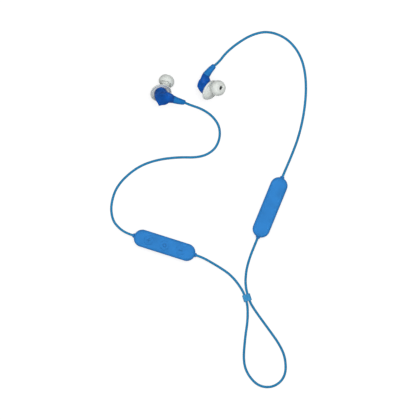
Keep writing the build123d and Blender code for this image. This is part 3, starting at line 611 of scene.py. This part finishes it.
@dataclass
class Button:
    """Rubber key: a cap with a thin lip that closes its hole, a hidden flange and a raised sign.

    Attributes:
        node: The frame part that it stands for.
        body: The body that it moves with.
        sign: Its sign.
        heading: Heading of the remote.
        pitch: Distance between buttons.
        radius: Radius of the cap.
        lip: Radius of its lip.
        flange: Radius of the hidden flange.
        bottom: Height of its underside.
        flange_height: Thickness of the hidden flange.
        top: Height of the cap.
        sign_length: Length of a bar and width of the ring.
        sign_width: Width of a stroke.
        sign_top: Height of the sign.
        sign_sink: Depth to which the sign reaches into the cap.
        ring_chamfer: Width and height of the ring's chamfers.
        bar_bevel: Width of the bevels of the plus and the minus.
        edge: Size of the small chamfers of the cap and its flange.
    """

    node: str
    body: str
    sign: Sign
    heading: float = REMOTE_HEADING
    pitch: float = 12.8 * MM
    radius: float = 3.5 * MM
    lip: float = 3.66 * MM
    flange: float = 4.05 * MM
    bottom: float = 6.25 * MM
    flange_height: float = 0.5 * MM
    top: float = 8.15 * MM
    sign_length: float = 3.2 * MM
    sign_width: float = 0.75 * MM
    sign_top: float = 8.28 * MM
    sign_sink: float = 0.02 * MM
    ring_chamfer: tuple[float, float] = (0.05 * MM, 0.03 * MM)
    bar_bevel: float = 0.04 * MM
    edge: float = 0.06 * MM

    def cap(self) -> bmesh.types.BMesh:
        """Makes cap, lip and flange in one spun form.

        Returns:
            Their mesh.
        """
        step = self.edge
        shelf = self.bottom + self.flange_height
        return spun([
            (0, self.bottom), (self.flange - step, self.bottom), (self.flange, self.bottom + step),
            (self.flange, shelf - step), (self.flange - step, shelf), (self.radius, shelf),
            (self.radius, self.top - 5 * step), (self.lip, self.top - 3 * step),
            (self.lip, self.top - 2 * step), (self.lip - 2 * step, self.top - step / 2),
            (self.radius - 2 * step, self.top), (self.radius / 2, self.top), (0, self.top),
        ])

    def outline(self) -> list[tuple[float, float]]:
        """Works out the outline of the plus or of the minus.

        Returns:
            Its corners, in order.
        """
        reach, half = self.sign_length / 2, self.sign_width / 2
        if self.sign is Sign.MINUS:
            return [(-reach, -half), (reach, -half), (reach, half), (-reach, half)]
        arm = [(-half, -reach), (half, -reach), (half, -half)]
        quarters = [Matrix.Rotation(quarter * pi / 2, 2) for quarter in range(4)]
        return [tuple(turn @ Vector(place)) for turn in quarters for place in arm]

    def add_sign(self, mesh: bmesh.types.BMesh) -> None:
        """Raises the sign on the cap.

        Args:
            mesh: Mesh of the cap, to which the sign is added.
        """
        foot = self.top - self.sign_sink
        if self.sign is Sign.RING:
            outer = self.sign_length / 2
            inner = outer - self.sign_width
            bevel_width, bevel_height = self.ring_chamfer
            shoulder = self.sign_top - bevel_height
            ring = spun([(inner, foot), (outer, foot), (outer, shoulder),
                         (outer - bevel_width, self.sign_top), (inner + bevel_width, self.sign_top),
                         (inner, shoulder)])
            data = bpy.data.meshes.new("ring")
            ring.to_mesh(data)
            ring.free()
            mesh.from_mesh(data)
            bpy.data.meshes.remove(data)
            return
        face = mesh.faces.new([mesh.verts.new((x, y, foot)) for x, y in self.outline()])
        raised = bmesh.ops.extrude_face_region(mesh, geom=[face])["geom"]
        top = [item for item in raised if isinstance(item, bmesh.types.BMVert)]
        bmesh.ops.translate(mesh, verts=top, vec=(0, 0, self.sign_top - foot))
        rim = [edge for edge in {edge for v in top for edge in v.link_edges}
               if all(v.co.z > foot for v in edge.verts)]
        bmesh.ops.bevel(mesh, geom=rim, offset=self.bar_bevel, offset_type="OFFSET", segments=2, profile=0.5,
                        affect="EDGES", material=-1)
        bmesh.ops.recalc_face_normals(mesh, faces=mesh.faces)

    def build(self, materials: dict[Slot, bpy.types.Material]) -> None:
        """Makes the button and puts it on its body.

        Args:
            materials: Materials of every slot.
        """
        mesh = self.cap()
        self.add_sign(mesh)
        along = Matrix.Translation((self.sign.value * self.pitch, 0, 0))
        place = Matrix.Rotation(radians(self.heading), 4, "Z") @ along
        piece = finished(f"{self.node}_cap", mesh, Slot.BUTTON, materials, place, smooth_levels=0)
        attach(piece, self.body)
        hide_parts(self.node)


# ---- cords


@dataclass
class Pod:
    """Where a pod lies, for the cords that leave it.

    Attributes:
        at: Middle of its back.
        heading: Direction of its long axis.
        axis_height: Height of the cords' exits.
        exit: Distance from the middle to a grommet's end.
        straight: Straight run of cord out of a grommet.
    """

    at: tuple[float, float]
    heading: float
    axis_height: float = 4.0 * MM
    exit: float = 25.8 * MM
    straight: float = 5.0 * MM

    def cord_exit(self, end: int) -> list[Vector]:
        """Two points on the line of a cord that leaves the pod's end.

        Args:
            end: 1 for the end along the heading, -1 for the other.

        Returns:
            The grommet's end and a point further out.
        """
        along = Vector((cos(radians(self.heading)), sin(radians(self.heading)), 0))
        middle = Vector((*self.at, self.axis_height))
        return [middle + along * end * (self.exit + out) for out in (0, self.straight)]


@dataclass
class CordSlider:
    """Where the cord slider holds its two strands.

    Attributes:
        at: Its middle.
        heading: Direction of its bores.
        spacing: Distance between the strands.
        height: Height of the strands.
        straight: Straight run on either side of its middle.
    """

    at: tuple[float, float] = (63.4 * MM, -40.35 * MM)
    heading: float = -72.0
    spacing: float = 2.4 * MM
    height: float = 1.95 * MM
    straight: float = 4.0 * MM

    def strand(self, side: int) -> list[Vector]:
        """Two points on one strand, before and after the slider.

        Args:
            side: -1 or 1, for the strand on either side of the middle.

        Returns:
            The two points, in the direction of the heading.
        """
        along = Vector((cos(radians(self.heading)), sin(radians(self.heading)), 0))
        across = Vector((-along.y, along.x, 0))
        middle = Vector((*self.at, self.height)) + across * side * self.spacing / 2
        return [middle - along * self.straight, middle + along * self.straight]


@dataclass
class Cord:
    """A round cord that lies on the table between two pieces.

    Attributes:
        name: Its name, which is also its part's name in the frame.
        points: Its route.
        length: Its real length; not used.
        diameter: Its diameter.
        on_it: Frame parts that it carries; not used.
    """

    name: str
    points: list[Vector]
    length: float
    diameter: float = 1.9 * MM
    on_it: tuple[str, ...] = ()

    def build(self, materials: dict[Slot, bpy.types.Material]) -> None:
        """Makes the cord as a smooth tube along its route.

        Args:
            materials: Materials of every slot.
        """
        curve = bpy.data.curves.new(self.name, "CURVE")
        curve.dimensions = "3D"
        curve.bevel_depth = self.diameter / 2
        curve.bevel_resolution = CORD_ROUND_STEPS
        curve.resolution_u = CORD_COURSE_STEPS
        curve.use_fill_caps = True
        spline = curve.splines.new("NURBS")
        spline.points.add(len(self.points) - 1)
        for control, point in zip(spline.points, self.points):
            control.co = (*point, 1)
        spline.order_u = CORD_ORDER
        spline.use_endpoint_u = True
        curve.materials.append(materials[Slot.CORD])
        piece = bpy.data.objects.new(f"{self.name}_tube", curve)
        bpy.context.scene.collection.objects.link(piece)
        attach(piece, "headset")
        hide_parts(self.name)
        LOG.info("made %s", piece.name)


def flat(*places: tuple[float, float]) -> list[Vector]:
    """Points of a cord that lies on the table, from millimetres."""
    return [Vector((x * MM, y * MM, LYING_HEIGHT)) for x, y in places]


def lifted(x: float, y: float, z: float) -> list[Vector]:
    """One point of a cord above the table, from millimetres."""
    return [Vector((x, y, z)) * MM]


def all_cords() -> list[Cord]:
    """Lays out the three cords.

    Returns:
        The cords, from the left earbud to the right one.
    """
    remote = Pod((0, 0), REMOTE_HEADING)
    battery = Pod((81.2 * MM, 29.2 * MM), 67.8)
    slider = CordSlider()
    left_route = (
        lifted(15.19, 109.88, 12.36) + lifted(18.93, 108.19, 9.5)
        + lifted(28.8, 105.0, 5.8) + lifted(37.2, 99.3, 2.2)
        + flat((42.6, 91.0), (42.4, 81.0), (37.6, 72.5), (27.0, 67.5), (9.5, 67.9), (-8.2, 65.4),
               (-22.8, 59.2), (-36.9, 45.9), (-41.6, 30.8), (-40.1, 19.4))
        + lifted(-35.3, 13.4, 1.9) + remote.cord_exit(-1)[::-1]
    )
    neck_route = (
        remote.cord_exit(1) + lifted(39.0, -14.9, 1.4) + flat((48.6, -21.0), (54.3, -26.6))
        + lifted(58.6, -32.6, 1.4) + slider.strand(-1) + lifted(64.0, -49.5, 1.3)
        + flat((63.9, -58.5), (61.9, -71.5), (60.5, -90.3), (64.9, -101.2), (73.4, -109.1),
               (84.9, -109.1), (93.2, -100.8), (93.2, -87.2), (88.7, -76.6), (79.9, -64.3), (72.6, -54.4))
        + lifted(68.3, -48.1, 1.3) + slider.strand(1)[::-1] + lifted(62.55, -31.6, 1.3)
        + flat((62.2, -27.0), (63.0, -18.5), (65.6, -9.2)) + battery.cord_exit(-1)[::-1]
    )
    right_route = (
        battery.cord_exit(1) + lifted(97.3, 67.9, 1.3)
        + flat((103.3, 83.5), (107.6, 102.5), (109.2, 121.5), (107.6, 137.5), (102.6, 150.0), (93.4, 159.9),
               (80.2, 164.9), (68.0, 162.6), (56.6, 156.0))
        + lifted(47.1, 148.1, 2.0) + lifted(42.0, 141.16, 3.69) + lifted(38.26, 138.17, 5.13)
    )
    return [
        Cord("left_cord", left_route, length=0.1842),
        Cord("neck_cord", neck_route, length=0.2631, on_it=("cord_slider",)),
        Cord("right_cord", right_route, length=0.1796),
    ]


# ---- table, light and camera


@dataclass
class Studio:
    """Pale table, soft light and the camera above.

    Attributes:
        view_centre: Middle of what the camera sees.
        view_width: Width of what it sees.
        camera_height: Height of the camera.
        sensor: Width of its sensor, in millimetres.
        table_half: Half the table's width.
        table_lift: Gap between the table and the object.
        table_shade: Share of light that the table throws back.
        table_glow: Light that the table adds where it is seen.
        table_roughness: Roughness of the table.
        table_specular: Strength of its reflection.
        key_at: Place of the main lamp, from the middle of the view.
        key_size: Its width.
        key_power: Its power, in watts.
        fill_at: Place of the second lamp.
        fill_size: Its width.
        fill_power: Its power.
        zenith: Strength of the light from straight above.
        horizon: Strength of the light from the sides.
    """

    view_centre: tuple[float, float] = (34.96 * MM, 27.18 * MM)
    view_width: float = 323.4 * MM
    camera_height: float = 10.0
    sensor: float = 36.0
    table_half: float = 2.0
    table_lift: float = 0.0002
    table_shade: float = 0.28
    table_glow: float = 0.78
    table_roughness: float = 0.9
    table_specular: float = 0.1
    key_at: Point = (0.2, 0.25, 1.15)
    key_size: float = 0.8
    key_power: float = 9.6
    fill_at: Point = (-0.65, -0.5, 0.9)
    fill_size: float = 0.9
    fill_power: float = 4.0
    zenith: float = 0.44
    horizon: float = 0.0

    def seen_rays(self, tree: bpy.types.NodeTree) -> bpy.types.NodeSocket:
        """Tells seen light from light that falls on a matt surface.

        Args:
            tree: Node tree that it goes into.

        Returns:
            The socket that is 1 for rays from the camera, a glossy surface or a clear one.
        """
        rays = tree.nodes.new("ShaderNodeLightPath")
        total = rays.outputs["Is Camera Ray"]
        for kind in ("Is Glossy Ray", "Is Transmission Ray"):
            either = tree.nodes.new("ShaderNodeMath")
            either.operation = "MAXIMUM"
            tree.links.new(total, either.inputs[0])
            tree.links.new(rays.outputs[kind], either.inputs[1])
            total = either.outputs["Value"]
        return total

    def table(self) -> None:
        """Makes the white table that keeps the object's shadow."""
        mesh = bmesh.new()
        bmesh.ops.create_grid(mesh, x_segments=1, y_segments=1, size=self.table_half)
        bmesh.ops.translate(mesh, verts=mesh.verts, vec=(*self.view_centre, -self.table_lift))
        data = bpy.data.meshes.new("table")
        mesh.to_mesh(data)
        mesh.free()
        material = bpy.data.materials.new("white_table")
        material.use_nodes = True
        tree = material.node_tree
        shader = tree.nodes["Principled BSDF"]
        shader.inputs["Base Color"].default_value = (*[self.table_shade] * 3, 1)
        shader.inputs["Roughness"].default_value = self.table_roughness
        shader.inputs["Specular IOR Level"].default_value = self.table_specular
        shader.inputs["Emission Color"].default_value = (1, 1, 1, 1)
        glow = tree.nodes.new("ShaderNodeMath")
        glow.operation = "MULTIPLY"
        glow.inputs[1].default_value = self.table_glow
        tree.links.new(self.seen_rays(tree), glow.inputs[0])
        tree.links.new(glow.outputs["Value"], shader.inputs["Emission Strength"])
        data.materials.append(material)
        table = bpy.data.objects.new("table", data)
        bpy.context.scene.collection.objects.link(table)

    def lamp(self, name: str, place: Point, size: float, power: float) -> None:
        """Hangs a square lamp that shines at the middle of the view.

        Args:
            name: Its name.
            place: Where it hangs, from the middle of the view.
            size: Its width.
            power: Its power, in watts.
        """
        light = bpy.data.lights.new(name, "AREA")
        light.size = size
        light.energy = power
        lamp = bpy.data.objects.new(name, light)
        lamp.location = Vector(place) + Vector((*self.view_centre, 0))
        lamp.rotation_euler = Vector(place).to_track_quat("Z", "Y").to_euler()
        bpy.context.scene.collection.objects.link(lamp)

    def surroundings(self) -> None:
        """Makes the soft light from above, and white where the camera sees past the table."""
        world = bpy.data.worlds.new("soft_room")
        world.use_nodes = True
        tree = world.node_tree
        room = tree.nodes["Background"]
        room.inputs["Color"].default_value = (1, 1, 1, 1)
        direction = tree.nodes.new("ShaderNodeTexCoord")
        split = tree.nodes.new("ShaderNodeSeparateXYZ")
        falloff = tree.nodes.new("ShaderNodeMapRange")
        falloff.inputs["To Min"].default_value = self.horizon
        falloff.inputs["To Max"].default_value = self.zenith
        strength = tree.nodes.new("ShaderNodeMath")
        strength.operation = "MAXIMUM"
        tree.links.new(direction.outputs["Generated"], split.inputs["Vector"])
        tree.links.new(split.outputs["Z"], falloff.inputs["Value"])
        tree.links.new(falloff.outputs["Result"], strength.inputs[0])
        tree.links.new(self.seen_rays(tree), strength.inputs[1])
        tree.links.new(strength.outputs["Value"], room.inputs["Strength"])
        bpy.context.scene.world = world

    def camera(self) -> None:
        """Hangs the camera straight above the table."""
        data = bpy.data.cameras.new("camera")
        data.sensor_width = self.sensor
        data.lens = self.sensor * self.camera_height / self.view_width
        camera = bpy.data.objects.new("camera", data)
        camera.location = (*self.view_centre, self.camera_height)
        bpy.context.scene.collection.objects.link(camera)
        bpy.context.scene.camera = camera

    def build(self) -> None:
        """Sets the table, the light and the camera."""
        self.table()
        self.lamp("key", self.key_at, self.key_size, self.key_power)
        self.lamp("fill", self.fill_at, self.fill_size, self.fill_power)
        self.surroundings()
        self.camera()
        bpy.context.scene.view_settings.view_transform = "Standard"


# ---- dressing the frame


def dress_frame(materials: dict[Slot, bpy.types.Material]) -> None:
    """Gives every part of the frame its material.

    Args:
        materials: Materials of every slot.
    """
    # The slider's paler rubber is partly painted light from its lit side.
    own = {"nozzle_mesh": gauze(), "cord_slider": pale_lit_rubber()}
    for subpart in frame["record"]["subparts"]:
        name = subpart["node"]
        node = frame["nodes"][name]
        node.data.materials.clear()
        looks = [look for ending, look in own.items() if name.endswith(ending)]
        node.data.materials.append(looks[0] if looks else materials[Slot(subpart["material_slot"])])
        LOG.info("dressed %s", name)


def main() -> None:
    """Builds the whole scene."""
    logging.basicConfig(level=logging.INFO, format="%(name)s: %(message)s")
    materials = all_finishes()
    dress_frame(materials)
    Earbud(Side.LEFT, heading=-6.8, droop=15.7, roll=-143.0).build(materials)
    Earbud(Side.RIGHT, heading=57.8, droop=0.7, roll=58.5).build(materials)
    for key, sign in (("volume_up", Sign.PLUS), ("play", Sign.RING), ("volume_down", Sign.MINUS)):
        Button(f"{key}_button", f"{key}_key", sign).build(materials)
    for cord in all_cords():
        cord.build(materials)
    Studio().build()


if __name__ == "__main__":
    main()
